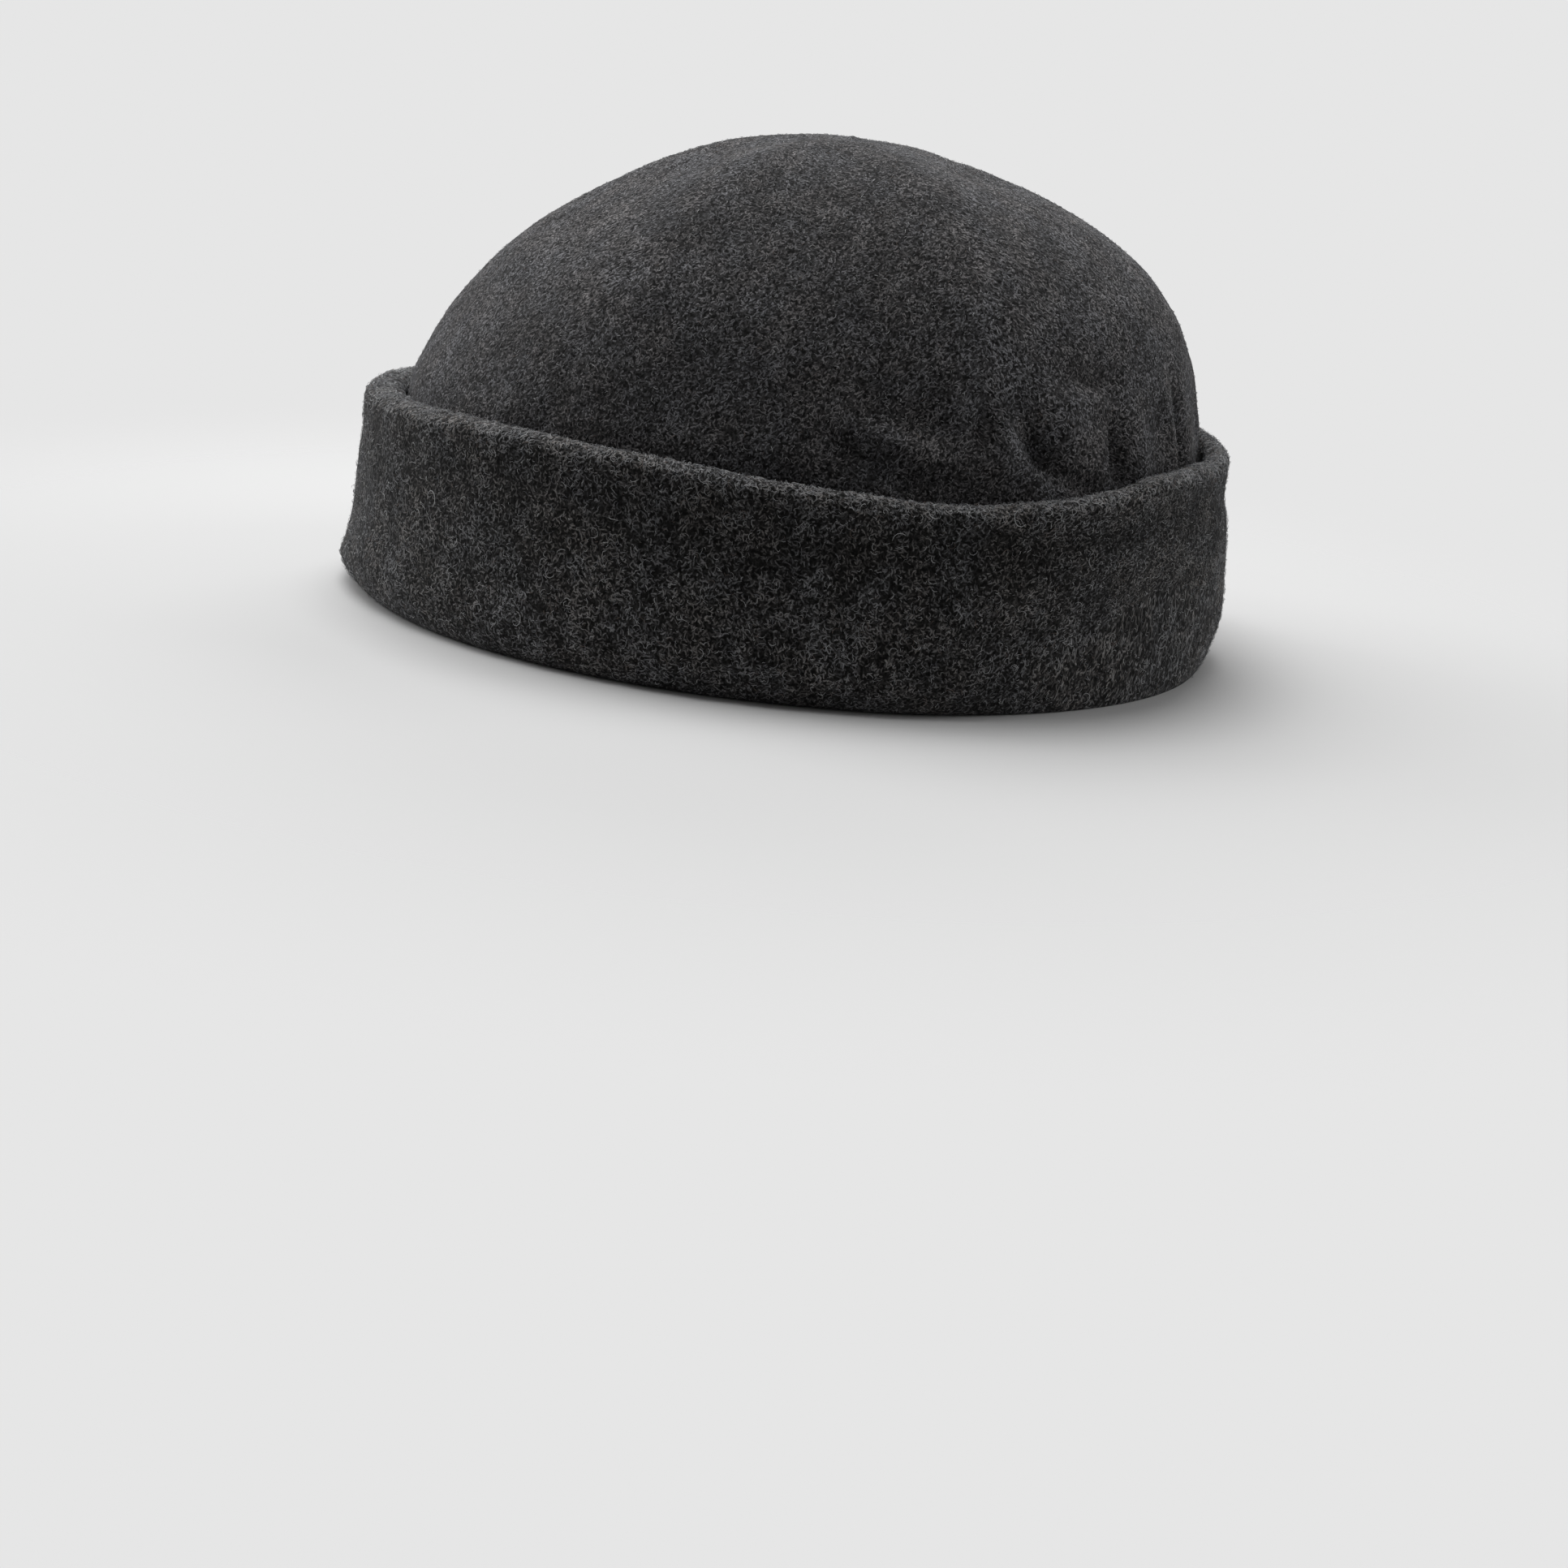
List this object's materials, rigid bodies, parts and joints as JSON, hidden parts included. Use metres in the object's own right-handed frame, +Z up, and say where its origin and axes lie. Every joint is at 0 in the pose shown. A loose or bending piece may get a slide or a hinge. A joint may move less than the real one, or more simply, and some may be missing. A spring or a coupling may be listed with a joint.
{
  "type": "fisherman beanie",
  "caption": "Close knit wool cap: a round paneled crown with a deep doubled cuff turned up round its foot, hollow and open below.",
  "frame": {"origin": "on the surface that the cap stands on, under the middle of the cap's outline", "axes": "+Z up through the crown, the wearer's face toward -Y, the wearer's left toward +X"},
  "size_m": [0.178, 0.2154, 0.116],
  "materials": {
    "crown_wool": "felted wool knit in heathered charcoal, matt, with a short smooth nap",
    "cuff_wool": "heavier felted wool knit in dark heathered charcoal, matt, with light curly fibres standing out of it"
  },
  "bodies": {
    "root": {"panel_front_left": "crown_wool", "panel_left": "crown_wool", "panel_back_left": "crown_wool", "panel_back_right": "crown_wool", "panel_right": "crown_wool", "panel_front_right": "crown_wool", "cuff": "cuff_wool"}
  },
  "joints": []
}
